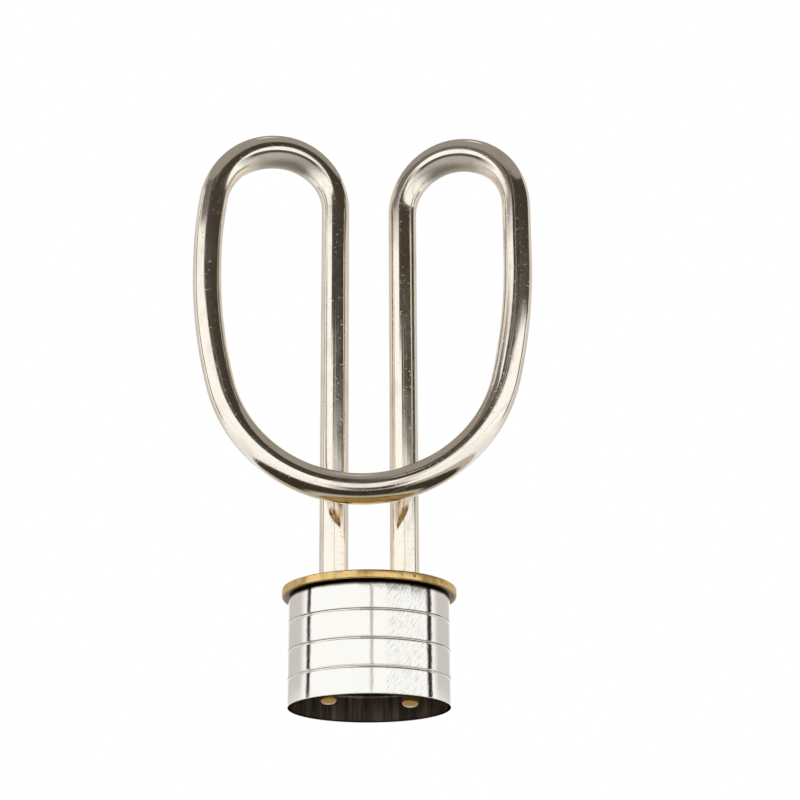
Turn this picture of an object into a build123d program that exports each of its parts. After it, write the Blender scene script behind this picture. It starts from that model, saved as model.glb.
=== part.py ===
from build123d import *
from math import asin, atan2, cos, hypot, pi, sin, sqrt
import os

# Plug-in tubular heating element, in millimetres.
# +Z runs from the socket cup up through the flange to the loops, -Y is the side that the
# front loop stands on, and the origin is the centre of the flange's upper, sealing face.

# Sheath tube and what it is filled with
TUBE_DIAMETER = 7.0
TUBE_WALL = 0.8
TUBE_END_Z = -4.5
SEAL_DEPTH = 4.0
SEAL_BEAD = 1.0
COIL_DIAMETER = 3.0
COLD_PIN_DIAMETER = 2.4
COLD_PIN_TOP_Z = 32.0
COLD_PIN_BEND_RADIUS = 3.0
COLD_PIN_SOCKET = 2.0

# Centreline of the bent tube
LEG_X = 8.4
LOOP_FORWARD = 12.0
BOTTOM_RADIUS = 35.0
BOTTOM_CENTRE_X = -1.2
BOTTOM_CENTRE_Z = 56.4
LOBES = {
    "left": {"leg_top": 98.1, "reach": 39.0, "inner_bend": 13.7,
             "outer_bend": 18.2, "shoulder": 110.0, "flank": 119.0},
    "right": {"leg_top": 96.5, "reach": 36.4, "inner_bend": 13.7,
              "outer_bend": 16.7, "shoulder": 110.0, "flank": 137.0},
}

# The press tool leaves each bend wider in its own plane and thinner across it
LOBE_FLATTENING = 1.3
BOTTOM_FLATTENING = 0.5
THINNING = 0.85
LOBE_STATIONS = 4
BOTTOM_STATIONS = 8

# Flange
FLANGE_DIAMETER = 41.2
FLANGE_THICKNESS = 2.0
FLANGE_EDGE = 0.3
SPIGOT_HEIGHT = 3.0
SPIGOT_WALL = 2.0
BRAZE_LEG = 1.2
BRAZE_SEAT_DEPTH = 0.6

# Socket cup, with three rolled beads
CUP_DIAMETER = 38.0
CUP_WALL = 0.8
CUP_RIM_Z = -28.0
CUP_RIM_ROUNDING = 0.15
CUP_TOP_ROUNDING = 0.6
BEAD_LEVELS = (-8.7, -15.3, -21.8)
BEAD_DEPTH = 0.3
BEAD_HALF_WIDTH = 0.45

# Insulating plate, held between the first two beads
PLATE_WEB = 3.0
PLATE_RIM_WIDTH = 2.2
PLATE_CHAMFER = 0.4

# Contact pins of the socket
CONTACT_DIAMETER = 4.0
CONTACT_NECK_DIAMETER = 3.2
CONTACT_SPACING = 19.0
CONTACT_HEAD_DIAMETER = 6.4
CONTACT_HEAD_HEIGHT = 2.4
CONTACT_TIP_ROUNDING = 1.3
CONTACT_RECESS = {"left": 1.1, "right": 0.3}

SIDES = {"left": -1, "right": 1}
TUBE_RADIUS = TUBE_DIAMETER / 2
CUP_RADIUS = CUP_DIAMETER / 2
CUP_BORE = CUP_RADIUS - CUP_WALL
PLATE_TOP_Z = BEAD_LEVELS[0] - BEAD_HALF_WIDTH
PLATE_BOTTOM_Z = BEAD_LEVELS[1] + BEAD_HALF_WIDTH
WEB_TOP_Z = PLATE_BOTTOM_Z + PLATE_WEB
UP = Vector(0, 0, 1)


class Run:
    """A straight stretch of the tube's centreline."""

    def __init__(self, start, end):
        self.start = start
        self.end = end

    def edge(self):
        return Edge.make_line(self.start, self.end)

    def solid(self, diameter, flattened):
        way = self.end - self.start
        disc = Plane(origin=self.start, z_dir=way) * Circle(diameter / 2)
        return extrude(disc, amount=way.length).solid()


class Bend:
    """A circular bend of the centreline, from one angle to another on the circle that two
    unit directions span. The flattening laws give, from 0 to 1, how hard it was pressed."""

    def __init__(self, centre, across, along, radius, first, last, pressed=0.0, law=None, stations=1):
        self.centre = centre
        self.across = across
        self.along = along
        self.radius = radius
        self.first = first
        self.last = last
        self.pressed = pressed
        self.law = law
        self.stations = stations

    def point(self, share):
        angle = self.first + (self.last - self.first) * share
        return self.centre + (self.across * cos(angle) + self.along * sin(angle)) * self.radius

    def edge(self):
        return Edge.make_three_point_arc(self.point(0), self.point(0.5), self.point(1))

    def section(self, path, share, diameter):
        """Oval section at one station, its long axis pointing at the bend's centre."""
        widening = self.pressed * self.law(share)
        centre = path @ share
        plane = Plane(origin=centre, x_dir=self.centre - centre, z_dir=path % share)
        long_radius = (diameter + widening) / 2
        short_radius = (diameter - widening * THINNING) / 2
        return (plane * Ellipse(long_radius, short_radius)).face()

    def solid(self, diameter, flattened):
        path = self.edge()
        if self.law is None or not flattened:
            disc = Plane(origin=path @ 0, z_dir=path % 0) * Circle(diameter / 2)
            return sweep(disc, path).solid()
        sections = [self.section(path, i / self.stations, diameter) for i in range(self.stations + 1)]
        return Solid.sweep_multi(sections, path)


def rising_press(share):
    return sin(share * pi / 2) ** 2


def falling_press(share):
    return cos(share * pi / 2) ** 2


def middle_press(share):
    return sin(share * pi) ** 2


def lobe_pieces(side, start_z):
    """Centreline pieces of one half, from a height on its leg up over the lobe and down to
    where the bottom bend of the front loop takes over, with that place's angle."""
    sign = SIDES[side]
    lobe = LOBES[side]
    leg = Vector(sign * LEG_X, 0, 0)
    # The lobe lies in an upright plane, swung forward about the leg
    width = hypot(lobe["reach"] - LEG_X, LOOP_FORWARD)
    out = Vector(sign * (lobe["reach"] - LEG_X), -LOOP_FORWARD, 0) / width
    inner = lobe["inner_bend"]
    outer = lobe["outer_bend"]
    shoulder = lobe["shoulder"]
    inner_centre = leg + UP * lobe["leg_top"] + out * inner
    outer_centre = inner_centre - UP * (outer - inner)
    # The outer bend stops where the long shoulder arc can carry on to the vertical
    turn = asin((shoulder - (width - inner)) / (shoulder - outer))
    shoulder_centre = outer_centre - out * ((shoulder - outer) * sin(turn))
    shoulder_centre -= UP * ((shoulder - outer) * cos(turn))
    shoulder_end = shoulder_centre + out * shoulder
    # The flank arc touches the vertical outer run and the bottom bend from inside
    flank = lobe["flank"]
    offset = flank - (lobe["reach"] - sign * BOTTOM_CENTRE_X)
    rise = sqrt((flank - BOTTOM_RADIUS) ** 2 - offset ** 2)
    sideways = Vector(sign, 0, 0)
    flank_top = Vector(sign * lobe["reach"], -LOOP_FORWARD, BOTTOM_CENTRE_Z + rise)
    flank_turn = atan2(rise, offset)
    half_lobe = {"pressed": LOBE_FLATTENING, "stations": LOBE_STATIONS}
    pieces = [
        Run(leg + UP * start_z, leg + UP * lobe["leg_top"]),
        Bend(inner_centre, -out, UP, inner, 0, pi / 2, law=rising_press, **half_lobe),
        Bend(outer_centre, UP, out, outer, 0, turn, law=falling_press, **half_lobe),
        Bend(shoulder_centre, UP, out, shoulder, turn, pi / 2),
        Run(shoulder_end, flank_top),
        Bend(flank_top - sideways * flank, sideways, -UP, flank, 0, flank_turn),
    ]
    return pieces, flank_turn


def centreline(start_z):
    """All pieces of the centreline, up the left leg, round the front loop and down the right."""
    left, left_turn = lobe_pieces("left", start_z)
    right, right_turn = lobe_pieces("right", start_z)
    centre = Vector(BOTTOM_CENTRE_X, -LOOP_FORWARD, BOTTOM_CENTRE_Z)
    bottom = Bend(centre, Vector(-1, 0, 0), -UP, BOTTOM_RADIUS, left_turn, pi - right_turn,
                  pressed=BOTTOM_FLATTENING, law=middle_press, stations=BOTTOM_STATIONS)
    return left + [bottom] + right


def bent_rod(start_z, diameter, flattened=True):
    """One solid along the centreline, from a height on one leg to the same on the other."""
    solids = [piece.solid(diameter, flattened) for piece in centreline(start_z)]
    return solids[0].fuse(*solids[1:]).solid()


def rod(x, radius, low, high):
    """An upright cylinder in the plane of the legs."""
    return Pos(x, 0, low) * extrude(Circle(radius), amount=high - low)


def turned(points):
    """A turned solid from its section's corners, each given as radius and height."""
    return revolve(Plane.XZ * make_face(Polyline(*points, close=True)), Axis.Z)


def sheath_tube():
    bore = TUBE_DIAMETER - 2 * TUBE_WALL
    return bent_rod(TUBE_END_Z, TUBE_DIAMETER) - bent_rod(TUBE_END_Z, bore)


def resistance_coil():
    """The wound wire's outer envelope, between the tops of the two cold pins."""
    return bent_rod(COLD_PIN_TOP_Z, COIL_DIAMETER, flattened=False)


def magnesia_filling():
    filling_end = TUBE_END_Z + SEAL_DEPTH
    filling = bent_rod(filling_end, TUBE_DIAMETER - 2 * TUBE_WALL) - resistance_coil()
    for sign in SIDES.values():
        filling -= rod(sign * LEG_X, COLD_PIN_DIAMETER / 2, filling_end, COLD_PIN_TOP_Z)
    return filling


def end_seal(side):
    """A plug in the tube's mouth whose domed bead stands out round the cold pin."""
    bore = TUBE_RADIUS - TUBE_WALL
    hole = COLD_PIN_DIAMETER / 2
    plug = turned([(hole, TUBE_END_Z), (bore, TUBE_END_Z),
                   (bore, TUBE_END_Z + SEAL_DEPTH), (hole, TUBE_END_Z + SEAL_DEPTH)])
    crown = (bore + hole) / 2
    tip = TUBE_END_Z - SEAL_BEAD
    dome = ThreePointArc((bore, TUBE_END_Z), (crown + SEAL_BEAD * 0.35, tip + SEAL_BEAD * 0.3), (crown, tip))
    section = make_face(dome + Polyline((crown, tip), (hole, tip), (hole, TUBE_END_Z), (bore, TUBE_END_Z)))
    bead = revolve(Plane.XZ * section, Axis.Z)
    return Pos(SIDES[side] * LEG_X, 0, 0) * (plug + bead)


def cold_pin(side):
    """A soft rod from the coil down through the seal, set over sideways into its contact pin."""
    shift = CONTACT_SPACING / 2 - LEG_X
    radius = COLD_PIN_BEND_RADIUS
    drop = sqrt(radius ** 2 - (radius - shift / 2) ** 2)
    head_top = WEB_TOP_Z + CONTACT_HEAD_HEIGHT
    bend_top = TUBE_END_Z - SEAL_BEAD
    bend_end = bend_top - 2 * drop
    upper = Line((LEG_X, 0, COLD_PIN_TOP_Z), (LEG_X, 0, bend_top))
    over = TangentArc(upper @ 1, (LEG_X + shift / 2, 0, bend_top - drop), tangent=(0, 0, -1))
    back = TangentArc(over @ 1, (LEG_X + shift, 0, bend_end), tangent=over % 1)
    lower = Line(back @ 1, (LEG_X + shift, 0, head_top - COLD_PIN_SOCKET))
    disc = Plane(origin=upper @ 0, z_dir=(0, 0, -1)) * Circle(COLD_PIN_DIAMETER / 2)
    pin = sweep(disc, Wire([upper.edge(), over.edge(), back.edge(), lower.edge()]))
    return pin if side == "right" else mirror(pin, Plane.YZ)


def mounting_flange():
    """Disc with a spigot ring for the cup, drilled for the two legs and countersunk for braze."""
    disc = Pos(0, 0, -FLANGE_THICKNESS) * extrude(Circle(FLANGE_DIAMETER / 2), amount=FLANGE_THICKNESS)
    disc = fillet(disc.edges(), FLANGE_EDGE)
    ring = Circle(CUP_BORE) - Circle(CUP_BORE - SPIGOT_WALL)
    flange = disc + Pos(0, 0, -FLANGE_THICKNESS - SPIGOT_HEIGHT) * extrude(ring, amount=SPIGOT_HEIGHT)
    foot = TUBE_RADIUS + BRAZE_LEG
    seat = turned([(0, 0), (foot, 0), (TUBE_RADIUS, -BRAZE_SEAT_DEPTH), (0, -BRAZE_SEAT_DEPTH)])
    for sign in SIDES.values():
        flange -= rod(sign * LEG_X, TUBE_RADIUS, -FLANGE_THICKNESS, 0)
        flange -= Pos(sign * LEG_X, 0, 0) * seat
    return flange


def braze_fillet(side):
    """The ring of braze that fills the countersink round one leg, concave where it stands out."""
    foot = TUBE_RADIUS + BRAZE_LEG
    hollow = TUBE_RADIUS + BRAZE_LEG * (1 - sqrt(0.5))
    curve = ThreePointArc((foot, 0), (hollow, BRAZE_LEG * (1 - sqrt(0.5))), (TUBE_RADIUS, BRAZE_LEG))
    seat = Polyline((TUBE_RADIUS, BRAZE_LEG), (TUBE_RADIUS, -BRAZE_SEAT_DEPTH), (foot, 0))
    section = make_face(curve + seat)
    return Pos(SIDES[side] * LEG_X, 0, 0) * revolve(Plane.XZ * section, Axis.Z)


def cup_wall_line(radius, top, bottom):
    """The wall's outline at one radius, from top to bottom, dipping inwards at each bead."""
    lines = []
    start = (radius, top)
    for level in BEAD_LEVELS:
        lip = (radius, level + BEAD_HALF_WIDTH)
        lines.append(Line(start, lip))
        start = (radius, level - BEAD_HALF_WIDTH)
        lines.append(ThreePointArc(lip, (radius - BEAD_DEPTH, level), start))
    lines.append(Line(start, (radius, bottom)))
    return lines


def terminal_cup():
    """Thin drawn cup, open below, with rolled beads that show as grooves outside."""
    top = -FLANGE_THICKNESS
    outline = cup_wall_line(CUP_RADIUS, top, CUP_RIM_Z) + cup_wall_line(CUP_BORE, top, CUP_RIM_Z)
    outline.append(Line((CUP_RADIUS, top), (CUP_BORE, top)))
    outline.append(Line((CUP_RADIUS, CUP_RIM_Z), (CUP_BORE, CUP_RIM_Z)))
    cup = revolve(Plane.XZ * make_face(outline), Axis.Z)
    circles = cup.edges().filter_by(GeomType.CIRCLE)
    cup = fillet(circles.group_by(Axis.Z)[0], CUP_RIM_ROUNDING)
    top_edge = cup.edges().filter_by(GeomType.CIRCLE).group_by(Axis.Z)[-1].sort_by(SortBy.RADIUS)[-1]
    return fillet(top_edge, CUP_TOP_ROUNDING)


def terminal_plate():
    """Moulded disc with a raised rim, held between two beads and drilled for the contacts."""
    body = Pos(0, 0, PLATE_BOTTOM_Z) * extrude(Circle(CUP_BORE), amount=PLATE_TOP_Z - PLATE_BOTTOM_Z)
    body = chamfer(body.edges(), PLATE_CHAMFER)
    recess = Circle(CUP_BORE - PLATE_RIM_WIDTH)
    body -= Pos(0, 0, WEB_TOP_Z) * extrude(recess, amount=PLATE_TOP_Z - WEB_TOP_Z)
    for sign in SIDES.values():
        body -= rod(sign * CONTACT_SPACING / 2, CONTACT_NECK_DIAMETER / 2, PLATE_BOTTOM_Z, WEB_TOP_Z)
    return body


def contact_pin(side):
    """Turned pin, riveted through the plate by its neck, with a head that takes the cold pin
    and a rounded tip near the cup's rim."""
    x = SIDES[side] * CONTACT_SPACING / 2
    head_top = WEB_TOP_Z + CONTACT_HEAD_HEIGHT
    tip = CUP_RIM_Z + CONTACT_RECESS[side]
    shank = rod(x, CONTACT_DIAMETER / 2, tip, PLATE_BOTTOM_Z)
    shank = fillet(shank.edges().group_by(Axis.Z)[0], CONTACT_TIP_ROUNDING)
    neck = rod(x, CONTACT_NECK_DIAMETER / 2, PLATE_BOTTOM_Z, WEB_TOP_Z)
    pin = shank + neck + rod(x, CONTACT_HEAD_DIAMETER / 2, WEB_TOP_Z, head_top)
    return pin - rod(x, COLD_PIN_DIAMETER / 2, head_top - COLD_PIN_SOCKET, head_top)


def build():
    pieces = {
        "sheath_tube": sheath_tube(),
        "magnesia_filling": magnesia_filling(),
        "resistance_coil": resistance_coil(),
        "mounting_flange": mounting_flange(),
        "terminal_cup": terminal_cup(),
        "terminal_plate": terminal_plate(),
    }
    for side in SIDES:
        pieces["cold_pin_" + side] = cold_pin(side)
        pieces["end_seal_" + side] = end_seal(side)
        pieces["braze_fillet_" + side] = braze_fillet(side)
        pieces["contact_pin_" + side] = contact_pin(side)
    return pieces


os.makedirs("parts", exist_ok=True)
for node, solid in build().items():
    export_step(solid, "parts/" + node + ".step")
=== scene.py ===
from math import asin, atan2, ceil, cos, hypot, pi, radians, sin, sqrt

import bmesh
import bpy
from mathutils import Matrix, Vector


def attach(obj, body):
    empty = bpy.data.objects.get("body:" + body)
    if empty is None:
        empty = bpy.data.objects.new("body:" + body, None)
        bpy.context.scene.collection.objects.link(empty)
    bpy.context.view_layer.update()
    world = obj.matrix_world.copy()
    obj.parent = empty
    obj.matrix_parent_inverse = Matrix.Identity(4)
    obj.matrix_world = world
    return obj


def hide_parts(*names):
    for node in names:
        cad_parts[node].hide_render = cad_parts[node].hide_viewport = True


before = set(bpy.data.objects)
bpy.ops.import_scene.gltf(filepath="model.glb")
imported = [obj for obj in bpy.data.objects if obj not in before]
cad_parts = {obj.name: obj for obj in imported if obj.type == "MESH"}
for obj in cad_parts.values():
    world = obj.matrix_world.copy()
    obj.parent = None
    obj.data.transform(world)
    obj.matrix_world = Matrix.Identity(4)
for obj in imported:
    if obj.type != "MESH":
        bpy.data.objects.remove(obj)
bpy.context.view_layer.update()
scene = bpy.context.scene
mm = 0.001    # sizes are in millimetres up to the moment a mesh is made
up = Vector((0, 0, 1))
sides = {"left": -1, "right": 1}
print("frame loaded,", len(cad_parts), "nodes")


def newObject(name, mesh):
    piece = bpy.data.objects.new(name, mesh)
    scene.collection.objects.link(piece)
    return piece


# Node helpers, for the materials and for the sweep's tree
def addNode(tree, kind, settings=None, **values):
    node = tree.nodes.new(kind)
    for key, value in (settings or {}).items():
        setattr(node, key, value)
    for key, value in values.items():
        node.inputs[key].default_value = value
    return node


def feed(tree, node, index, value):
    if isinstance(value, (int, float, tuple)):
        node.inputs[index].default_value = value
    else:
        tree.links.new(value, node.inputs[index])


def number(tree, operation, *values):
    node = addNode(tree, "ShaderNodeMath", {"operation": operation})
    for index, value in enumerate(values):
        feed(tree, node, index, value)
    return node.outputs[0]


def vector(tree, operation, *values):
    node = addNode(tree, "ShaderNodeVectorMath", {"operation": operation})
    for index, value in enumerate(values):
        feed(tree, node, 3 if operation == "SCALE" and index == 1 else index, value)
    return node.outputs["Value" if operation in ("DOT_PRODUCT", "LENGTH") else "Vector"]


def ramp(tree, factor, *stops):
    node = tree.nodes.new("ShaderNodeValToRGB")
    marks = node.color_ramp.elements
    while len(marks) < len(stops):
        marks.new(0.5)
    for mark, (place, shade) in zip(marks, stops):
        mark.position = place
        mark.color = (*shade, 1) if isinstance(shade, tuple) else (shade, shade, shade, 1)
    tree.links.new(factor, node.inputs["Fac"])
    return node.outputs["Color"]


def space(tree, attribute=None, scale=(1, 1, 1), turn=(0, 0, 0)):
    if attribute:
        source = addNode(tree, "ShaderNodeAttribute", {"attribute_name": attribute}).outputs["Vector"]
    else:
        source = tree.nodes.new("ShaderNodeTexCoord").outputs["Object"]
    mapping = addNode(tree, "ShaderNodeMapping", Scale=scale, Rotation=turn)
    tree.links.new(source, mapping.inputs["Vector"])
    return mapping.outputs["Vector"]


def noise(tree, place, scale, detail=3.0, roughness=0.55):
    node = addNode(tree, "ShaderNodeTexNoise", Scale=scale, Detail=detail, Roughness=roughness)
    tree.links.new(place, node.inputs["Vector"])
    return node.outputs["Fac"]


def split(tree, source):
    node = tree.nodes.new("ShaderNodeSeparateXYZ")
    tree.links.new(source, node.inputs[0])
    return node.outputs


# 0 up to the first value and 1 from the second on, which may also be the lower of the two
def fade(tree, value, start, end):
    node = tree.nodes.new("ShaderNodeMapRange")
    feed(tree, node, "Value", value)
    feed(tree, node, "From Min", start)
    feed(tree, node, "From Max", end)
    return node.outputs[0]


def mixShades(tree, factor, first, second):
    node = addNode(tree, "ShaderNodeMix", {"data_type": "RGBA"})
    for index, value in ((0, factor), (6, first), (7, second)):
        feed(tree, node, index, (*value, 1) if isinstance(value, tuple) else value)
    return node.outputs[2]


def bumps(tree, shader, *layers):
    normal = None
    for height, strength, distance in layers:
        node = addNode(tree, "ShaderNodeBump", Strength=strength, Distance=distance)
        tree.links.new(height, node.inputs["Height"])
        if normal:
            tree.links.new(normal, node.inputs["Normal"])
        normal = node.outputs["Normal"]
    tree.links.new(normal, shader.inputs["Normal"])


def newMaterial(name, metallic=1.0):
    material = bpy.data.materials.new(name)
    material.use_nodes = True
    shader = material.node_tree.nodes["Principled BSDF"]
    shader.inputs["Metallic"].default_value = metallic
    return material, material.node_tree, shader


sharpFrom = 35    # degrees between two faces from which their edge stays sharp


def finished(name, mesh, slot, *nodes):
    mesh.polygons.foreach_set("use_smooth", [True] * len(mesh.polygons))
    mesh.set_sharp_from_angle(angle=radians(sharpFrom))
    piece = newObject(name, mesh)
    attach(piece, "root")
    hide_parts(*nodes)
    print(name, "has", sum(len(face.vertices) - 2 for face in mesh.polygons), "triangles")
    return piece


# Turned pieces: a closed outline of radius and height, spun about an upright axis
def arc(centre, radius, first, last, count=8):
    angles = [radians(first + (last - first) * index / count) for index in range(count + 1)]
    return [(centre[0] + radius * cos(angle), centre[1] + radius * sin(angle)) for angle in angles]


def turnedShape(outline, around, x=0.0):
    shape = bmesh.new()
    rings = []
    for step in range(around):
        angle = 2 * pi * step / around
        ring = []
        for radius, height in outline:
            place = ((x + radius * cos(angle)) * mm, radius * sin(angle) * mm, height * mm)
            ring.append(shape.verts.new(place))
        rings.append(ring)
    for step in range(around):
        here, there = rings[step], rings[(step + 1) % around]
        for index in range(len(outline)):
            after = (index + 1) % len(outline)
            if outline[index][0] > 0 or outline[after][0] > 0:
                shape.faces.new((here[index], there[index], there[after], here[after]))
    bmesh.ops.remove_doubles(shape, verts=shape.verts, dist=0.000001)
    bmesh.ops.recalc_face_normals(shape, faces=shape.faces)
    return shape


def meshFrom(shape, name, *finishNames):
    mesh = bpy.data.meshes.new(name)
    shape.to_mesh(mesh)
    shape.free()
    for finishName in finishNames:
        mesh.materials.append(finishes[finishName])
    return mesh


# The plain materials, each with a fine grain of two shades
plainFinishes = {
    "phenolic": {"metallic": 0.0, "colour": (0.035, 0.018, 0.01), "second": (0.07, 0.04, 0.022),
                 "roughness": 0.45, "grain": 900, "height": 0.00002},
    "magnesia": {"metallic": 0.0, "colour": (0.78, 0.75, 0.68), "second": (0.66, 0.62, 0.55),
                 "roughness": 0.85, "grain": 1800, "height": 0.00004},
    "resin": {"metallic": 0.0, "colour": (0.45, 0.16, 0.07), "second": (0.55, 0.24, 0.12),
              "roughness": 0.4, "grain": 700, "height": 0.00002},
    "resistanceWire": {"metallic": 1.0, "colour": (0.42, 0.39, 0.35), "second": (0.25, 0.22, 0.2),
                       "roughness": 0.45, "grain": 1500, "height": 0.00003},
    "steel": {"metallic": 1.0, "colour": (0.56, 0.55, 0.53), "second": (0.42, 0.4, 0.37),
              "roughness": 0.3, "grain": 1200, "height": 0.00001},
    "braze": {"metallic": 1.0, "colour": (0.78, 0.66, 0.42), "second": (0.42, 0.31, 0.17),
              "roughness": 0.28, "grain": 500, "height": 0.00005},
}


def plainMaterial(name):
    finish = plainFinishes[name]
    material, tree, shader = newMaterial(name, finish["metallic"])
    grain = noise(tree, space(tree), finish["grain"], 5)
    light = ramp(tree, grain, (0.4, 0.0), (0.65, 1.0))
    shade = mixShades(tree, light, finish["colour"], finish["second"])
    tree.links.new(shade, shader.inputs["Base Color"])
    shader.inputs["Roughness"].default_value = finish["roughness"]
    bumps(tree, shader, (grain, 0.5, finish["height"]))
    return material


tube = {
    "diameter": 7.0,
    "wall": 0.8,
    "endZ": -4.5,
    "legX": 8.4,
    "loopForward": 12.0,
    "bottomRadius": 35.0,
    "bottomX": -1.2,
    "bottomZ": 56.4,
    "left": {"legTop": 98.1, "reach": 39.0, "innerBend": 13.7, "outerBend": 18.2,
             "shoulder": 110.0, "flank": 119.0},
    "right": {"legTop": 96.5, "reach": 36.4, "innerBend": 13.7, "outerBend": 16.7,
              "shoulder": 110.0, "flank": 137.0},
    "lobePress": 1.3,      # how much wider a pressed bend is in its own plane
    "bottomPress": 0.5,
    "thinning": 0.85,      # and the share of that by which it is thinner across
    "lean": {"left": 18.0, "right": 14.0},    # degrees the pressed flats in front look down
    "straightStep": 4.0,   # longest stretch between two rings on a straight run
    "turnStep": 2.0,       # degrees between two rings on a tight bend
    "arcStep": 1.2,        # longest stretch between two rings on a wide bend
    "around": 72,
}
tubeRadius = tube["diameter"] / 2


# Bright nickel with drawing lines and specks, dull inside the pressed bends, where the beige colour is
# partly a painted reflection and a dark line of painted reflection runs along each bend
nickel = {
    "colour": (1.0, 0.93, 0.82),
    "dull": (0.84, 0.75, 0.65),
    # Colours inside the pressed bends: a beige that is partly a painted reflection, and a dark line that
    # is a painted reflection
    "rubAndReflection": (0.54, 0.49, 0.43),
    "darkReflection": (0.09, 0.072, 0.055),
    "rubAndReflectionAcross": (0.40, 0.58),                # 0 is a bend's front or back and 1 its inside
    "darkReflectionAcross": (0.18, 0.26, 0.38, 0.60),    # where the crease starts, is full, fades and ends
    "rubAndReflectionPress": (0.35, 0.8),                  # shares of the lobes' press that it takes
    "darkReflectionPress": (0.3, 0.7),
    "roughness": (0.09, 0.19),
    "rubbedRoughness": 0.42,
    "lineHeight": 0.000004,
    "speckHeight": 0.000022,
}


def nickelMaterial():
    material, tree, shader = newMaterial("nickelSheath")
    lines = noise(tree, space(tree, "tubeSpace", (1, 1, 0.03)), 2600, 2)
    specks = ramp(tree, noise(tree, space(tree, "tubeSpace"), 1500, 1), (0.27, 0.0), (0.33, 1.0))
    smears = noise(tree, space(tree, "tubeSpace", (1, 1, 0.4)), 260, 4)
    shade = mixShades(tree, ramp(tree, smears, (0.5, 0.0), (0.8, 1.0)), nickel["colour"], nickel["dull"])
    pressedPlace = addNode(tree, "ShaderNodeAttribute", {"attribute_name": "rubAndReflection"}).outputs["Vector"]
    inwards, press = split(tree, pressedPlace)[:2]
    inner = ramp(tree, inwards, *zip(nickel["rubAndReflectionAcross"], (0.0, 1.0)))
    pressed = ramp(tree, press, *zip(nickel["rubAndReflectionPress"], (0.0, 1.0)))
    rubAndReflection = number(tree, "MULTIPLY", inner, pressed)
    # Inside the pressed bends the tube is duller, and its beige colour there is partly a painted
    # reflection
    shade = mixShades(tree, rubAndReflection, shade, nickel["rubAndReflection"])
    # A dark line of painted reflection along the inside of each pressed bend
    darkReflection = ramp(tree, inwards, *zip(nickel["darkReflectionAcross"], (0.0, 1.0, 1.0, 0.0)))
    pressed = ramp(tree, press, *zip(nickel["darkReflectionPress"], (0.0, 1.0)))
    darkReflection = number(tree, "MULTIPLY", darkReflection, pressed)
    tree.links.new(mixShades(tree, darkReflection, shade, nickel["darkReflection"]), shader.inputs["Base Color"])
    low, high = nickel["roughness"]
    rough = ramp(tree, smears, (0.42, low), (0.75, high))
    rough = number(tree, "ADD", rough, number(tree, "MULTIPLY", rubAndReflection, nickel["rubbedRoughness"] - low))
    tree.links.new(rough, shader.inputs["Roughness"])
    bumps(tree, shader, (lines, 0.5, nickel["lineHeight"]), (specks, 0.5, nickel["speckHeight"]))
    return material


# The tube's centreline, in straight runs and circular bends that touch
def run(start, end):
    return {"kind": "run", "start": start, "end": end, "length": (end - start).length}


def bend(centre, across, along, radius, first, last, press=None):
    return {"kind": "bend", "centre": centre, "across": across, "along": along, "radius": radius,
            "first": first, "last": last, "press": press, "length": radius * abs(last - first)}


def pointOn(stretch, share):
    if stretch["kind"] == "run":
        return stretch["start"].lerp(stretch["end"], share)
    angle = stretch["first"] + (stretch["last"] - stretch["first"]) * share
    spoke = stretch["across"] * cos(angle) + stretch["along"] * sin(angle)
    return stretch["centre"] + spoke * stretch["radius"]


def ringCount(stretch):
    if stretch["kind"] == "run":
        return ceil(stretch["length"] / tube["straightStep"])
    byTurn = abs(stretch["last"] - stretch["first"]) / radians(tube["turnStep"])
    return ceil(max(byTurn, stretch["length"] / tube["arcStep"]))


def halfOfTube(side):
    sign = sides[side]
    lobe = tube[side]
    leg = Vector((sign * tube["legX"], 0, 0))
    width = hypot(lobe["reach"] - tube["legX"], tube["loopForward"])
    out = Vector((sign * (lobe["reach"] - tube["legX"]), -tube["loopForward"], 0)) / width
    inner, outer, shoulder, flank = (lobe[key] for key in ("innerBend", "outerBend", "shoulder", "flank"))
    innerCentre = leg + up * lobe["legTop"] + out * inner
    outerCentre = innerCentre - up * (outer - inner)
    turn = asin((shoulder - (width - inner)) / (shoulder - outer))
    shoulderCentre = outerCentre - (out * sin(turn) + up * cos(turn)) * (shoulder - outer)
    offset = flank - (lobe["reach"] - sign * tube["bottomX"])
    rise = sqrt((flank - tube["bottomRadius"]) ** 2 - offset ** 2)
    sideways = Vector((sign, 0, 0))
    flankTop = Vector((sign * lobe["reach"], -tube["loopForward"], tube["bottomZ"] + rise))
    flankTurn = atan2(rise, offset)
    press = tube["lobePress"]
    half = [
        run(leg + up * tube["endZ"], leg + up * lobe["legTop"]),
        bend(innerCentre, -out, up, inner, 0, pi / 2, lambda share: press * sin(share * pi / 2) ** 2),
        bend(outerCentre, up, out, outer, 0, turn, lambda share: press * cos(share * pi / 2) ** 2),
        bend(shoulderCentre, up, out, shoulder, turn, pi / 2),
        run(shoulderCentre + out * shoulder, flankTop),
        bend(flankTop - sideways * flank, sideways, -up, flank, 0, flankTurn),
    ]
    return half, flankTurn


# Stations of one stretch: place, how much wider, the direction across its plane and the one inwards
def stationsOf(stretch, backwards=False):
    rings = ringCount(stretch)
    plane, inward, lean = Vector((0, 1, 0)), Vector((1, 0, 0)), 0.0
    if stretch["kind"] == "bend":
        plane = stretch["across"].cross(stretch["along"]).normalized()
        plane = -plane if plane.y > 0 else plane
        lean = radians(tube["lean"]["left" if stretch["centre"].x < -tube["legX"] else "right"])
    made = []
    for index in range(rings + 1):
        share = 1 - index / rings if backwards else index / rings
        wider = stretch["press"](share) if stretch.get("press") else 0.0
        place = pointOn(stretch, share)
        if stretch["kind"] == "bend":
            inward = (stretch["centre"] - place).normalized()
        downward = inward if inward.z < 0 else -inward
        flat = plane * cos(lean) + downward * sin(lean) if wider else plane
        made.append((place, wider, flat, inward))
    return made


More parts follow.
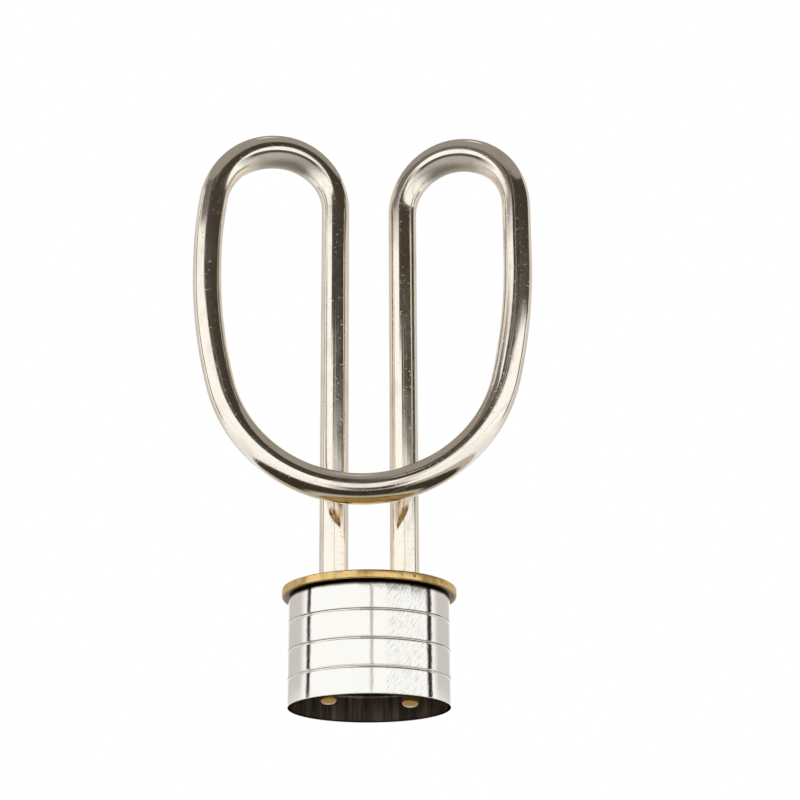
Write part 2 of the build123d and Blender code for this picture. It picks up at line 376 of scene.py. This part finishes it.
def tubeStations():
    left, leftTurn = halfOfTube("left")
    right, rightTurn = halfOfTube("right")
    centre = Vector((tube["bottomX"], -tube["loopForward"], tube["bottomZ"]))
    bottom = bend(centre, Vector((-1, 0, 0)), -up, tube["bottomRadius"], leftTurn, pi - rightTurn,
                  lambda share: tube["bottomPress"] * sin(share * pi) ** 2)
    made = []
    for stretch in left + [bottom]:
        made += stationsOf(stretch)[:-1]
    for stretch in reversed(right):
        made += stationsOf(stretch, backwards=True)[:-1]
    made.append((pointOn(right[0], 0), 0.0, Vector((0, 1, 0)), Vector((1, 0, 0))))
    return made


# The sweep's tree: a round section along the line, then pressed oval where the line says so
def sweepTree():
    tree = bpy.data.node_groups.new("pressedSweep", "GeometryNodeTree")
    sockets = {"Geometry": "Geometry", "Radius": "Float", "Around": "Int", "Thinning": "Float",
               "Widening": "Float", "Material": "Material"}
    for name, kind in sockets.items():
        tree.interface.new_socket(name, in_out="INPUT", socket_type="NodeSocket" + kind)
    tree.interface.new_socket("Geometry", in_out="OUTPUT", socket_type="NodeSocketGeometry")
    link = tree.links.new

    def position():
        return tree.nodes.new("GeometryNodeInputPosition").outputs[0]

    def stored(geometry, name, value, kind="FLOAT_VECTOR"):
        node = addNode(tree, "GeometryNodeStoreNamedAttribute",
                       {"data_type": kind, "domain": "POINT"}, Name=name)
        link(geometry, node.inputs["Geometry"])
        link(value, node.inputs["Value"])
        return node.outputs[0]

    def named(name, kind="FLOAT_VECTOR"):
        return addNode(tree, "GeometryNodeInputNamedAttribute", {"data_type": kind}, Name=name).outputs[0]

    given = tree.nodes.new("NodeGroupInput").outputs
    line = tree.nodes.new("GeometryNodeMeshToCurve")
    link(given["Geometry"], line.inputs["Mesh"])
    travel = tree.nodes.new("GeometryNodeSplineParameter").outputs["Length"]
    path = stored(stored(line.outputs[0], "middle", position()), "travel", travel, "FLOAT")
    section = tree.nodes.new("GeometryNodeCurvePrimitiveCircle")
    link(given["Around"], section.inputs["Resolution"])
    link(given["Radius"], section.inputs["Radius"])
    skin = tree.nodes.new("GeometryNodeCurveToMesh")
    link(path, skin.inputs["Curve"])
    link(stored(section.outputs[0], "section", position()), skin.inputs["Profile Curve"])
    middle, plane, wider = named("middle"), named("plane"), named("wider", "FLOAT")
    spoke = vector(tree, "SUBTRACT", position(), middle)
    crosswise = vector(tree, "SCALE", plane, vector(tree, "DOT_PRODUCT", spoke, plane))
    inPlane = vector(tree, "SUBTRACT", spoke, crosswise)
    share = number(tree, "DIVIDE", wider, number(tree, "MULTIPLY", given["Radius"], 2.0))
    grown = vector(tree, "SCALE", inPlane, number(tree, "ADD", share, 1.0))
    shrink = number(tree, "SUBTRACT", 1.0, number(tree, "MULTIPLY", share, given["Thinning"]))
    pressed = vector(tree, "ADD", grown, vector(tree, "SCALE", crosswise, shrink))
    moved = tree.nodes.new("GeometryNodeSetPosition")
    link(skin.outputs[0], moved.inputs["Geometry"])
    link(vector(tree, "ADD", middle, pressed), moved.inputs["Position"])
    # The unrolled tube, as a straight rod, is what its finish is drawn on
    along = tree.nodes.new("ShaderNodeCombineXYZ")
    link(named("travel", "FLOAT"), along.inputs["Z"])
    rod = vector(tree, "ADD", named("section"), along.outputs[0])
    # Where the bends are dull and carry the painted reflections: how far round to the inside of the bend,
    # and how hard it was pressed
    pressedPlace = tree.nodes.new("ShaderNodeCombineXYZ")
    link(vector(tree, "DOT_PRODUCT", vector(tree, "NORMALIZE", spoke), named("inward")), pressedPlace.inputs["X"])
    link(number(tree, "DIVIDE", wider, given["Widening"]), pressedPlace.inputs["Y"])
    real = tree.nodes.new("GeometryNodeRealizeInstances")
    link(stored(stored(moved.outputs[0], "tubeSpace", rod), "rubAndReflection", pressedPlace.outputs[0]), real.inputs[0])
    painted = tree.nodes.new("GeometryNodeSetMaterial")
    link(real.outputs[0], painted.inputs["Geometry"])
    link(given["Material"], painted.inputs["Material"])
    link(painted.outputs[0], tree.nodes.new("NodeGroupOutput").inputs[0])
    return tree


def sweep(tree, line, radius):
    carrier = newObject("carrier", line)
    modifier = carrier.modifiers.new("sweep", "NODES")
    modifier.node_group = tree
    values = {"Radius": radius * mm, "Around": tube["around"], "Thinning": tube["thinning"],
              "Widening": tube["lobePress"] * mm, "Material": finishes["nickel"]}
    for item in tree.interface.items_tree:
        if item.in_out == "INPUT" and item.name in values:
            modifier[item.identifier] = values[item.name]
    bpy.context.view_layer.update()
    mesh = bpy.data.meshes.new_from_object(carrier.evaluated_get(bpy.context.evaluated_depsgraph_get()))
    carrier.modifiers.remove(modifier)
    bpy.data.objects.remove(carrier)
    return mesh


def sheathTube():
    stations = tubeStations()
    line = bpy.data.meshes.new("centreline")
    line.from_pydata([station[0] * mm for station in stations],
                     [(index, index + 1) for index in range(len(stations) - 1)], [])
    wideList = line.attributes.new("wider", "FLOAT", "POINT")
    planeList = line.attributes.new("plane", "FLOAT_VECTOR", "POINT")
    inwardList = line.attributes.new("inward", "FLOAT_VECTOR", "POINT")
    for index, (place, wider, plane, inward) in enumerate(stations):
        wideList.data[index].value = wider * mm
        planeList.data[index].vector = plane
        inwardList.data[index].vector = inward
    tree = sweepTree()
    shape = bmesh.new()
    shape.from_mesh(sweep(tree, line, tubeRadius))
    outside = list(shape.faces)
    shape.from_mesh(sweep(tree, line, tubeRadius - tube["wall"]))
    shape.faces.ensure_lookup_table()
    edges = [edge for edge in shape.edges if edge.is_boundary]
    for near in (True, False):
        ends = [edge for edge in edges if (edge.verts[0].co.x < 0) == near]
        bmesh.ops.bridge_loops(shape, edges=ends)
    bmesh.ops.recalc_face_normals(shape, faces=shape.faces)
    mesh = bpy.data.meshes.new("sheathTubeSkin")
    shape.to_mesh(mesh)
    shape.free()
    mesh.materials.append(finishes["nickel"])
    return finished("sheathTubeSkin", mesh, "nickel_sheath", "sheath_tube")


cup = {"diameter": 38.0, "wall": 0.8, "rimZ": -28.0, "rimRounding": 0.15, "topRounding": 0.6,
       "beads": (-8.7, -15.3, -21.8), "beadDepth": 0.3, "beadHalfWidth": 0.45, "around": 256}
cupRadius = cup["diameter"] / 2
cupBore = cupRadius - cup["wall"]


# Bright chrome, wiped at a slant and marked in one patch, with a band of painted shade under the flange,
# the marks drawn dark as a painted reflection, and a dull inside painted dark brown as shade
chrome = {
    "colour": (0.965, 0.95, 0.90),
    # A dark colour painted as shade in a band under the flange, starting from the height below, and also
    # drawn into the tool marks as a painted reflection
    "paintedShade": (0.10, 0.075, 0.05),
    "paintedShadeFrom": -2.9,                   # height below which the wall is clean
    "paintedShadeDepth": 0.5,
    "paintedShadeWaver": 0.6,
    "roughness": (0.04, 0.13),
    "wipeHeight": 0.00001,
    "dentHeight": 0.00003,
    "markHeight": 0.000016,
    "markDepth": 0.32,
    "markSlant": 32,
    "markSize": (0.16, 2.6),             # width and length of one stroke
    "markPatch": (0, 13.75, 41.25, 55),  # degrees to the right of the front
    # The inside is painted dark brown as shade, with lighter streaks of painted reflection
    "inside": (0.05, 0.034, 0.022),
    "insideReflection": (0.22, 0.17, 0.12),
    "insideRoughness": 0.35,
    "insideHeight": 0.00002,
}


def chromeMaterial():
    material, tree, shader = newMaterial("cupChrome")
    wipes = noise(tree, space(tree, None, (1, 1, 0.16), (0.5, 0.6, 0)), 1500, 2)
    smears = noise(tree, space(tree, None, (1, 1, 0.5)), 180, 4)
    waver = number(tree, "MULTIPLY", smears, chrome["paintedShadeWaver"] * mm)
    height = number(tree, "ADD", split(tree, space(tree))["Z"], waver)
    # A band of painted shade at the top of the wall, just under the flange, with a wavering lower edge
    start = chrome["paintedShadeFrom"]
    paintedShade = fade(tree, height, start * mm, (start + chrome["paintedShadeDepth"]) * mm)
    marks = toolMarks(tree)
    # The tool marks are real; their dark colour is a painted reflection
    strokes = ramp(tree, marks, (0.52, 0.0), (0.62, chrome["markDepth"]))
    shade = mixShades(tree, strokes, chrome["colour"], chrome["paintedShade"])
    shade = mixShades(tree, paintedShade, shade, chrome["paintedShade"])
    tree.links.new(shade, shader.inputs["Base Color"])
    low, high = chrome["roughness"]
    tree.links.new(ramp(tree, smears, (0.42, low), (0.75, high)), shader.inputs["Roughness"])
    dents = noise(tree, space(tree, None, (1, 1, 0.9)), 620, 3)
    bumps(tree, shader, (wipes, 0.5, chrome["wipeHeight"]), (dents, 0.5, chrome["dentHeight"]),
          (marks, 0.5, chrome["markHeight"]))
    return material


# Short slanting strokes in one patch of the wall, drawn on it unrolled
def toolMarks(tree):
    x, y, z = split(tree, space(tree))
    turned = number(tree, "ARCTAN2", x, number(tree, "MULTIPLY", y, -1.0))
    wall = tree.nodes.new("ShaderNodeCombineXYZ")
    feed(tree, wall, 0, number(tree, "MULTIPLY", turned, cupRadius * mm))
    feed(tree, wall, 1, z)
    width, length = chrome["markSize"]
    stroke = addNode(tree, "ShaderNodeMapping", {"vector_type": "TEXTURE"},
                     Scale=(width * mm, length * mm, 1), Rotation=(0, 0, radians(-chrome["markSlant"])))
    tree.links.new(wall.outputs[0], stroke.inputs["Vector"])
    limits = [radians(limit) for limit in chrome["markPatch"]]
    patch = ramp(tree, turned, *zip(limits, (0.0, 1.0, 1.0, 0.0)))
    return number(tree, "MULTIPLY", noise(tree, stroke.outputs["Vector"], 1.0, 2), patch)


# The cup's inside: dull, painted dark brown as shade, with light streaks of painted reflection
def insideShadeMaterial():
    material, tree, shader = newMaterial("cupInsideShade", 0.6)
    streaks = noise(tree, space(tree, None, (1, 1, 0.08)), 700, 4)
    light = ramp(tree, streaks, (0.4, 0.0), (0.7, 1.0))
    shade = mixShades(tree, light, chrome["inside"], chrome["insideReflection"])
    tree.links.new(shade, shader.inputs["Base Color"])
    shader.inputs["Roughness"].default_value = chrome["insideRoughness"]
    bumps(tree, shader, (streaks, 0.4, chrome["insideHeight"]))
    return material


# One bead of the wall, from its upper lip to its lower one
def beadDip(radius, level):
    half, depth = cup["beadHalfWidth"], cup["beadDepth"]
    curve = (half ** 2 + depth ** 2) / (2 * depth)
    spread = asin(half / curve) * 180 / pi
    return arc((radius - depth + curve, level), curve, 180 - spread, 180 + spread, 10)


def terminalCup():
    top, bottom = -flange["thickness"], cup["rimZ"]
    edge, rim = cup["topRounding"], cup["rimRounding"]
    outside = arc((cupRadius - edge, top - edge), edge, 90, 0)
    for level in cup["beads"]:
        outside += beadDip(cupRadius, level)
    outside += arc((cupRadius - rim, bottom + rim), rim, 0, -90, 5)
    inside = [(cupBore, top)]
    for level in cup["beads"]:
        inside += beadDip(cupBore, level)
    inside += arc((cupBore + rim, bottom + rim), rim, 180, 270, 5)
    shape = turnedShape(outside + list(reversed(inside)), cup["around"])
    nearBore = (cupBore + 0.02) * mm
    for face in shape.faces:
        middle = face.calc_center_median()
        face.material_index = int(hypot(middle.x, middle.y) < nearBore)
    return finished("terminalCupShell", meshFrom(shape, "terminalCupShell", "chrome", "cupInsideShade"),
                    "cup_chrome", "terminal_cup")


contact = {"diameter": 4.0, "spacing": 19.0, "tipRounding": 1.3, "neck": 3.2, "head": 6.4,
           "headHeight": 2.4, "wireHole": 2.4, "wireDepth": 2.0, "web": 3.0,
           "recess": {"left": 1.1, "right": 0.3}, "around": 64}
plateBottom = cup["beads"][1] + cup["beadHalfWidth"]
webTop = plateBottom + contact["web"]


# Brass that has gone brown in patches and has dark spots, with painted shade on the flange's underside,
# darkest beside the cup, and a darker copy painted as shade for the pins
brass = {
    "colour": (0.86, 0.60, 0.24),
    # The pins' colour is the brass darkened as painted shade, as they sit inside the cup
    "pin": (0.34, 0.185, 0.055),
    # The underside's colour is painted shade
    "under": (0.66, 0.45, 0.18),
    "tarnish": (0.36, 0.22, 0.07),
    # Dark spots, and also the painted shade beside the cup
    "spotAndShade": (0.13, 0.075, 0.03),
    "patches": (0.5, 0.72),       # values of the noise where tarnish starts and is full
    "darkEdge": 0.25,             # how far up the edge the shade of the underside reaches
    # The painted shade beside the cup ends between these radii
    "darkRing": (19.9, 20.4),     # radii between which the dirt beside the cup ends
    "roughness": (0.16, 0.42),
    "pinMetallic": 0.7,
    "grainHeight": 0.000008,
    "cloudHeight": 0.00004,
}


def brassMaterial(name, colour, metallic=1.0, darkBelow=None):
    material, tree, shader = newMaterial(name, metallic)
    clouds = noise(tree, space(tree), 160, 6, 0.62)
    spots = ramp(tree, noise(tree, space(tree), 620, 3), (0.27, 1.0), (0.36, 0.0))
    tarnish = ramp(tree, clouds, *zip(brass["patches"], (0.0, 1.0)))
    shade = mixShades(tree, tarnish, colour, brass["tarnish"])
    shade = mixShades(tree, spots, shade, brass["spotAndShade"])
    # Painted shade on the underside, darkest in a ring beside the cup
    if darkBelow is not None:
        height = split(tree, space(tree))["Z"]
        under = fade(tree, height, (darkBelow + brass["darkEdge"]) * mm, darkBelow * mm)
        away = vector(tree, "LENGTH", space(tree, None, (1, 1, 0)))
        start, end = brass["darkRing"]
        nearCup = fade(tree, away, end * mm, start * mm)
        below = mixShades(tree, nearCup, brass["under"], brass["spotAndShade"])
        shade = mixShades(tree, under, shade, below)
    tree.links.new(shade, shader.inputs["Base Color"])
    low, high = brass["roughness"]
    tree.links.new(ramp(tree, clouds, (0.4, low), (0.75, high)), shader.inputs["Roughness"])
    grain = noise(tree, space(tree), 2200, 3)
    bumps(tree, shader, (grain, 0.4, brass["grainHeight"]), (clouds, 0.4, brass["cloudHeight"]))
    return material


def contactPin(side):
    radius, rounding = contact["diameter"] / 2, contact["tipRounding"]
    tip = cup["rimZ"] + contact["recess"][side]
    top = webTop + contact["headHeight"]
    outline = [(0, tip)] + arc((radius - rounding, tip + rounding), rounding, -90, 0, 12)
    outline += [(radius, plateBottom), (contact["neck"] / 2, plateBottom), (contact["neck"] / 2, webTop)]
    outline += [(contact["head"] / 2, webTop), (contact["head"] / 2, top), (contact["wireHole"] / 2, top)]
    outline += [(contact["wireHole"] / 2, top - contact["wireDepth"]), (0, top - contact["wireDepth"])]
    shape = turnedShape(outline, contact["around"], sides[side] * contact["spacing"] / 2)
    name = "contactPin" + side.capitalize()
    return finished(name, meshFrom(shape, name, "contactBrass"), "contact_brass", "contact_pin_" + side)


flange = {"diameter": 41.2, "thickness": 2.0, "edge": 0.3, "spigot": 3.0, "spigotWall": 2.0,
          "brazeLeg": 1.2, "brazeSeat": 0.6, "around": 192, "holeAround": 96}


def mountingFlange():
    radius, edge, thick = flange["diameter"] / 2, flange["edge"], flange["thickness"]
    low = -thick - flange["spigot"]
    outline = [(0, 0)] + arc((radius - edge, -edge), edge, 90, 0, 6)
    outline += arc((radius - edge, edge - thick), edge, 0, -90, 6)
    outline += [(cupBore, -thick), (cupBore, low), (cupBore - flange["spigotWall"], low)]
    outline += [(cupBore - flange["spigotWall"], -thick), (0, -thick)]
    body = newObject("flangeBody", meshFrom(turnedShape(outline, flange["around"]), "flangeBody"))
    foot, seat, past = tubeRadius + flange["brazeLeg"], flange["brazeSeat"], 1.0
    slope = flange["brazeLeg"] / seat
    hole = [(0, past), (foot + past * slope, past), (tubeRadius, -seat), (tubeRadius, -thick - past),
            (0, -thick - past)]
    drills = []
    for sign in sides.values():
        shape = turnedShape(hole, flange["holeAround"], sign * tube["legX"])
        drill = newObject("drill", meshFrom(shape, "drill"))
        cut = body.modifiers.new("leg", "BOOLEAN")
        cut.object, cut.solver = drill, "EXACT"
        drills.append(drill)
    bpy.context.view_layer.update()
    mesh = bpy.data.meshes.new_from_object(body.evaluated_get(bpy.context.evaluated_depsgraph_get()))
    for leftover in [body] + drills:
        bpy.data.objects.remove(leftover)
    mesh.name = "mountingFlangeDisc"
    mesh.materials.append(finishes["flangeBrass"])
    return finished("mountingFlangeDisc", mesh, "flange_brass", "mounting_flange")


finishes = {name: plainMaterial(name) for name in plainFinishes}
finishes["nickel"] = nickelMaterial()
finishes["chrome"] = chromeMaterial()
finishes["cupInsideShade"] = insideShadeMaterial()
finishes["flangeBrass"] = brassMaterial("flangeBrass", brass["colour"], darkBelow=-flange["thickness"])
# The pins are a darker copy of the brass, painted as shade
finishes["contactBrass"] = brassMaterial("contactBrass", brass["pin"], brass["pinMetallic"])
print("materials made")


sheathTube()
terminalCup()
mountingFlange()
for sideName in sides:
    contactPin(sideName)

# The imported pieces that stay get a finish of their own
keptFinishes = {"magnesia_filling": "magnesia", "resistance_coil": "resistanceWire",
                "cold_pin": "steel", "end_seal": "resin", "braze_fillet": "braze",
                "terminal_plate": "phenolic"}
for nodeName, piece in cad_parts.items():
    for start, finish in keptFinishes.items():
        if nodeName.startswith(start):
            piece.data.materials.clear()
            piece.data.materials.append(finishes[finish])
print("pieces made")


# Studio: a pale floor with a round hole under the cup, so that light reaches up into it
studio = {"floorRadius": 6000.0, "holeRadius": 17.0, "floor": (0.82, 0.82, 0.82),
          "whiteFrom": 350, "whiteTo": 1400, "around": 96}


# 1 for the rays that see the studio itself: straight ones, reflected ones and refracted ones
def seenRays(tree):
    rays = tree.nodes.new("ShaderNodeLightPath").outputs
    seen = number(tree, "MAXIMUM", rays["Is Camera Ray"], rays["Is Glossy Ray"])
    return number(tree, "MAXIMUM", seen, rays["Is Transmission Ray"])


def paleFloor():
    material = bpy.data.materials.new("paleFloor")
    material.use_nodes = True
    tree = material.node_tree
    shader = tree.nodes["Principled BSDF"]
    shader.inputs["Base Color"].default_value = (*studio["floor"], 1)
    shader.inputs["Roughness"].default_value = 0.9
    # Far from the object the floor runs out into the white of the studio
    away = vector(tree, "LENGTH", space(tree))
    far = fade(tree, away, studio["whiteFrom"] * mm, studio["whiteTo"] * mm)
    white = addNode(tree, "ShaderNodeEmission", None, Color=(1, 1, 1, 1), Strength=1.0)
    spread = tree.nodes.new("ShaderNodeMixShader")
    tree.links.new(number(tree, "MULTIPLY", far, seenRays(tree)), spread.inputs[0])
    tree.links.new(shader.outputs[0], spread.inputs[1])
    tree.links.new(white.outputs[0], spread.inputs[2])
    clear = tree.nodes.new("ShaderNodeBsdfTransparent")
    mix = tree.nodes.new("ShaderNodeMixShader")
    tree.links.new(tree.nodes.new("ShaderNodeNewGeometry").outputs["Backfacing"], mix.inputs[0])
    tree.links.new(spread.outputs[0], mix.inputs[1])
    tree.links.new(clear.outputs[0], mix.inputs[2])
    tree.links.new(mix.outputs[0], tree.nodes["Material Output"].inputs["Surface"])
    shape = bmesh.new()
    around = studio["around"]
    rings = []
    for radius in (studio["holeRadius"], studio["floorRadius"]):
        ring = []
        for step in range(around):
            angle = 2 * pi * step / around
            place = (radius * cos(angle) * mm, radius * sin(angle) * mm, cup["rimZ"] * mm)
            ring.append(shape.verts.new(place))
        rings.append(ring)
    for step in range(around):
        after = (step + 1) % around
        shape.faces.new((rings[0][step], rings[1][step], rings[1][after], rings[0][after]))
    mesh = bpy.data.meshes.new("floor")
    shape.to_mesh(mesh)
    shape.free()
    mesh.materials.append(material)
    newObject("floor", mesh)


# Shades that more than one board has
shades = {"far": (0.058, 0.048, 0.036), "seam": (0.03, 0.025, 0.02), "back": (0.60, 0.57, 0.54),
          "below": (0.040, 0.031, 0.023)}

# Boards that are seen only in reflections, standing round the object's upright axis or lying
# level. Azimuth 0 is in front and 90 to the right, and soft is how much of each side fades out
flags = {
    "darkRight": {"azimuths": (-14, 27), "heights": (500, 1150), "distance": 1500,
                  "shade": shades["far"], "soft": (0.08, 0.03)},
    "darkMidRight": {"azimuths": (24, 66), "heights": (478, 1150), "distance": 1490,
                     "shade": shades["far"], "soft": (0.06, 0.03)},
    "darkFarRight": {"azimuths": (60, 110), "heights": (440, 1150), "distance": 1480,
                     "shade": shades["far"], "soft": (0.1, 0.04)},
    "darkHigh": {"azimuths": (-8, 108), "heights": (190, 480), "distance": 300,
                 "shade": (0.050, 0.041, 0.031), "soft": (0.05, 0.1)},
    "dimFront": {"azimuths": (-30, -6), "heights": (172, 480), "distance": 312,
                 "shade": (0.06, 0.05, 0.04), "soft": (0.15, 0.04)},
    "dimLeft": {"azimuths": (-84, -22), "heights": (226, 480), "distance": 310,
                "shade": (0.15, 0.135, 0.115), "soft": (0.12, 0.08)},
    "seamFront": {"azimuths": (1, 8), "heights": (-28, 190), "distance": 303,
                  "shade": (0.55, 0.52, 0.47), "soft": (0.45, 0.1)},
    "seamLeft": {"azimuths": (-97, -85), "heights": (-28, 330), "distance": 305,
                 "shade": shades["seam"], "soft": (0.4, 0.1)},
    "seamRight": {"azimuths": (86, 100), "heights": (-28, 160), "distance": 305,
                  "shade": shades["seam"], "soft": (0.35, 0.1)},
    "backLeft": {"azimuths": (-165, -95), "heights": (-28, 600), "distance": 320,
                 "shade": shades["back"], "soft": (0.25, 0.1)},
    "backRight": {"azimuths": (97, 165), "heights": (-28, 600), "distance": 320,
                  "shade": shades["back"], "soft": (0.25, 0.1)},
    "ceiling": {"azimuths": (-180, 180), "radii": (0, 420), "level": 380,
                "shade": (0.30, 0.275, 0.25), "soft": (0.0, 0.1)},
    "darkFloor": {"azimuths": (-110, 30), "radii": (34, 118), "level": -27.5,
                  "shade": shades["below"], "soft": (0.1, 0.15)},
    "darkFloorRight": {"azimuths": (16, 120), "radii": (34, 84), "level": -27.4,
                       "shade": shades["below"], "soft": (0.1, 0.15)},
    "darkFloorFront": {"azimuths": (-12, 14), "radii": (90, 400), "level": -27.3,
                       "shade": (0.060, 0.048, 0.036), "soft": (0.3, 0.2)},
    "greyFloor": {"azimuths": (-180, 180), "radii": (21, 122), "level": -27.8,
                  "shade": (0.46, 0.42, 0.37), "soft": (0.0, 0.1)},
}


def flagMaterial(name, flag):
    material = bpy.data.materials.new(name)
    material.use_nodes = True
    tree = material.node_tree
    tree.nodes.remove(tree.nodes["Principled BSDF"])
    glow = addNode(tree, "ShaderNodeEmission", None, Color=(*flag["shade"], 1))
    spread = split(tree, tree.nodes.new("ShaderNodeUVMap").outputs[0])
    cover = 1.0
    for output, soft in zip(spread, flag["soft"]):
        if soft:
            inward = number(tree, "MINIMUM", output, number(tree, "SUBTRACT", 1.0, output))
            edge = addNode(tree, "ShaderNodeMapRange", {"interpolation_type": "SMOOTHSTEP"})
            feed(tree, edge, "Value", inward)
            feed(tree, edge, "From Max", soft)
            cover = number(tree, "MULTIPLY", edge.outputs[0], cover)
    clear = tree.nodes.new("ShaderNodeBsdfTransparent")
    mix = tree.nodes.new("ShaderNodeMixShader")
    feed(tree, mix, 0, cover)
    tree.links.new(clear.outputs[0], mix.inputs[1])
    tree.links.new(glow.outputs[0], mix.inputs[2])
    tree.links.new(mix.outputs[0], tree.nodes["Material Output"].inputs["Surface"])
    return material


def makeFlag(name, flag):
    steps = 48
    first, last = flag["azimuths"]
    corners = []
    for index in range(steps + 1):
        angle = radians(first + (last - first) * index / steps)
        out = Vector((sin(angle), -cos(angle), 0))
        if "level" in flag:
            corners += [out * radius + up * flag["level"] for radius in flag["radii"]]
        else:
            corners += [out * flag["distance"] + up * height for height in flag["heights"]]
    faces = [(2 * index, 2 * index + 2, 2 * index + 3, 2 * index + 1) for index in range(steps)]
    mesh = bpy.data.meshes.new(name)
    mesh.from_pydata([corner * mm for corner in corners], [], faces)
    spread = mesh.uv_layers.new(name="spread")
    for loop in mesh.loops:
        spread.data[loop.index].uv = (loop.vertex_index // 2 / steps, loop.vertex_index % 2)
    mesh.materials.append(flagMaterial(name, flag))
    board = newObject(name, mesh)
    board.visible_camera = False
    board.visible_diffuse = False
    board.visible_shadow = False
    board.visible_transmission = False


def makeWorld():
    world = bpy.data.worlds.new("studio")
    scene.world = world
    world.use_nodes = True
    tree = world.node_tree
    plain = tree.nodes["Background"]
    plain.inputs["Color"].default_value = (0.97, 0.98, 1.0, 1)
    plain.inputs["Strength"].default_value = 0.75
    white = addNode(tree, "ShaderNodeBackground", None, Color=(1, 1, 1, 1), Strength=1.0)
    mix = tree.nodes.new("ShaderNodeMixShader")
    tree.links.new(seenRays(tree), mix.inputs[0])
    tree.links.new(plain.outputs[0], mix.inputs[1])
    tree.links.new(white.outputs[0], mix.inputs[2])
    tree.links.new(mix.outputs[0], tree.nodes["World Output"].inputs["Surface"])


lamps = {
    "keyLeft": {"place": (-420, -420, 520), "size": 320, "power": 2.2},
    "fillRight": {"place": (480, -260, 300), "size": 300, "power": 0.9},
}


def makeLamp(name, lamp):
    data = bpy.data.lights.new(name, "AREA")
    data.shape = "SQUARE"
    data.size = lamp["size"] * mm
    data.energy = lamp["power"]
    light = bpy.data.objects.new(name, data)
    place = Vector(lamp["place"])
    turn = (place - Vector((0, 0, 40))).to_track_quat("Z", "Y").to_matrix().to_4x4()
    light.matrix_world = Matrix.Translation(place * mm) @ turn
    light.visible_glossy = False
    scene.collection.objects.link(light)


paleFloor()
for flagName, flag in flags.items():
    makeFlag(flagName, flag)
for lampName, lamp in lamps.items():
    makeLamp(lampName, lamp)
makeWorld()
print("studio lit")

camera = {"lens": 90.0, "azimuth": 0.413, "elevation": -19.016, "roll": -0.345,
          "aim": (7.528, 1.753, 48.07), "distance": 489.3}


def makeCamera():
    azimuth, elevation, roll = (radians(camera[key]) for key in ("azimuth", "elevation", "roll"))
    back = Vector((sin(azimuth) * cos(elevation), -cos(azimuth) * cos(elevation), sin(elevation)))
    right = up.cross(back).normalized()
    top = back.cross(right)
    rolledRight = right * cos(roll) + top * sin(roll)
    rolledTop = top * cos(roll) - right * sin(roll)
    place = Vector(camera["aim"]) + back * camera["distance"]
    data = bpy.data.cameras.new("camera")
    data.lens = camera["lens"]
    data.clip_start, data.clip_end = 0.01, 20.0
    view = bpy.data.objects.new("camera", data)
    turn = Matrix((rolledRight, rolledTop, back)).transposed().to_4x4()
    view.matrix_world = Matrix.Translation(place * mm) @ turn
    scene.collection.objects.link(view)
    scene.camera = view


makeCamera()
scene.view_settings.view_transform = "Standard"
